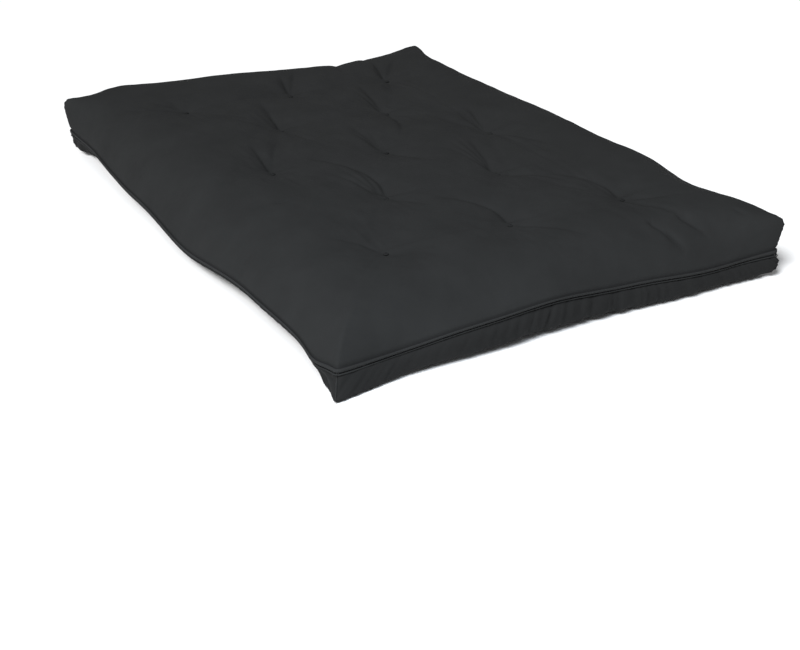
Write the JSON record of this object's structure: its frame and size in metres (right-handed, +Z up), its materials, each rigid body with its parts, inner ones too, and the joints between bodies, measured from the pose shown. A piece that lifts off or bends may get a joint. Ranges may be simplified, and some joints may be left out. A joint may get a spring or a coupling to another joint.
{
  "type": "futon mattress",
  "caption": "Thick tufted futon mattress in a black twill case with a seamed, welted edge, split along its length into a seat half and a back half that fold up into a sofa.",
  "frame": {"origin": "on the surface that the mattress lies on, under the centre of its outline, where the fold line crosses it", "axes": "+X across the mattress from the seat half to the back half, +Y along its length and along the fold, +Z up"},
  "size_m": [1.37, 1.905, 0.2],
  "materials": {
    "black_twill": "matt black cotton-blend twill",
    "black_tape": "matt black topstitched edge tape and welt",
    "black_twine": "black waxed tufting twine and felt button",
    "cotton_batting": "fluffy natural cotton batting",
    "soft_foam": "open-cell comfort foam, matt",
    "core_foam": "firm open-cell core foam, matt"
  },
  "bodies": {
    "seat_half": {"seat_top_case": "black_twill", "seat_bottom_case": "black_twill", "seat_top_batting": "cotton_batting", "seat_bottom_batting": "cotton_batting", "seat_top_foam": "soft_foam", "seat_bottom_foam": "soft_foam", "seat_core": "core_foam", "seat_edge_tape": "black_tape", "seat_welt_cord": "black_tape", "tuft_01_twine": "black_twine", "tuft_01_top_button": "black_twine", "tuft_01_bottom_button": "black_twine", "tuft_02_twine": "black_twine", "tuft_02_top_button": "black_twine", "tuft_02_bottom_button": "black_twine", "tuft_04_twine": "black_twine", "tuft_04_top_button": "black_twine", "tuft_04_bottom_button": "black_twine", "tuft_06_twine": "black_twine", "tuft_06_top_button": "black_twine", "tuft_06_bottom_button": "black_twine", "tuft_07_twine": "black_twine", "tuft_07_top_button": "black_twine", "tuft_07_bottom_button": "black_twine", "tuft_09_twine": "black_twine", "tuft_09_top_button": "black_twine", "tuft_09_bottom_button": "black_twine", "tuft_11_twine": "black_twine", "tuft_11_top_button": "black_twine", "tuft_11_bottom_button": "black_twine", "tuft_12_twine": "black_twine", "tuft_12_top_button": "black_twine", "tuft_12_bottom_button": "black_twine"},
    "back_half": {"back_top_case": "black_twill", "back_bottom_case": "black_twill", "back_top_batting": "cotton_batting", "back_bottom_batting": "cotton_batting", "back_top_foam": "soft_foam", "back_bottom_foam": "soft_foam", "back_core": "core_foam", "back_edge_tape": "black_tape", "back_welt_cord": "black_tape", "tuft_03_twine": "black_twine", "tuft_03_top_button": "black_twine", "tuft_03_bottom_button": "black_twine", "tuft_05_twine": "black_twine", "tuft_05_top_button": "black_twine", "tuft_05_bottom_button": "black_twine", "tuft_08_twine": "black_twine", "tuft_08_top_button": "black_twine", "tuft_08_bottom_button": "black_twine", "tuft_10_twine": "black_twine", "tuft_10_top_button": "black_twine", "tuft_10_bottom_button": "black_twine", "tuft_13_twine": "black_twine", "tuft_13_top_button": "black_twine", "tuft_13_bottom_button": "black_twine"}
  },
  "joints": [
    {"name": "sofa_fold", "type": "hinge", "parent": "seat_half", "child": "back_half", "pos_m": [0, 0, 0.2], "axis": [0, -1, 0], "range_deg": [0, 75]}
  ]
}
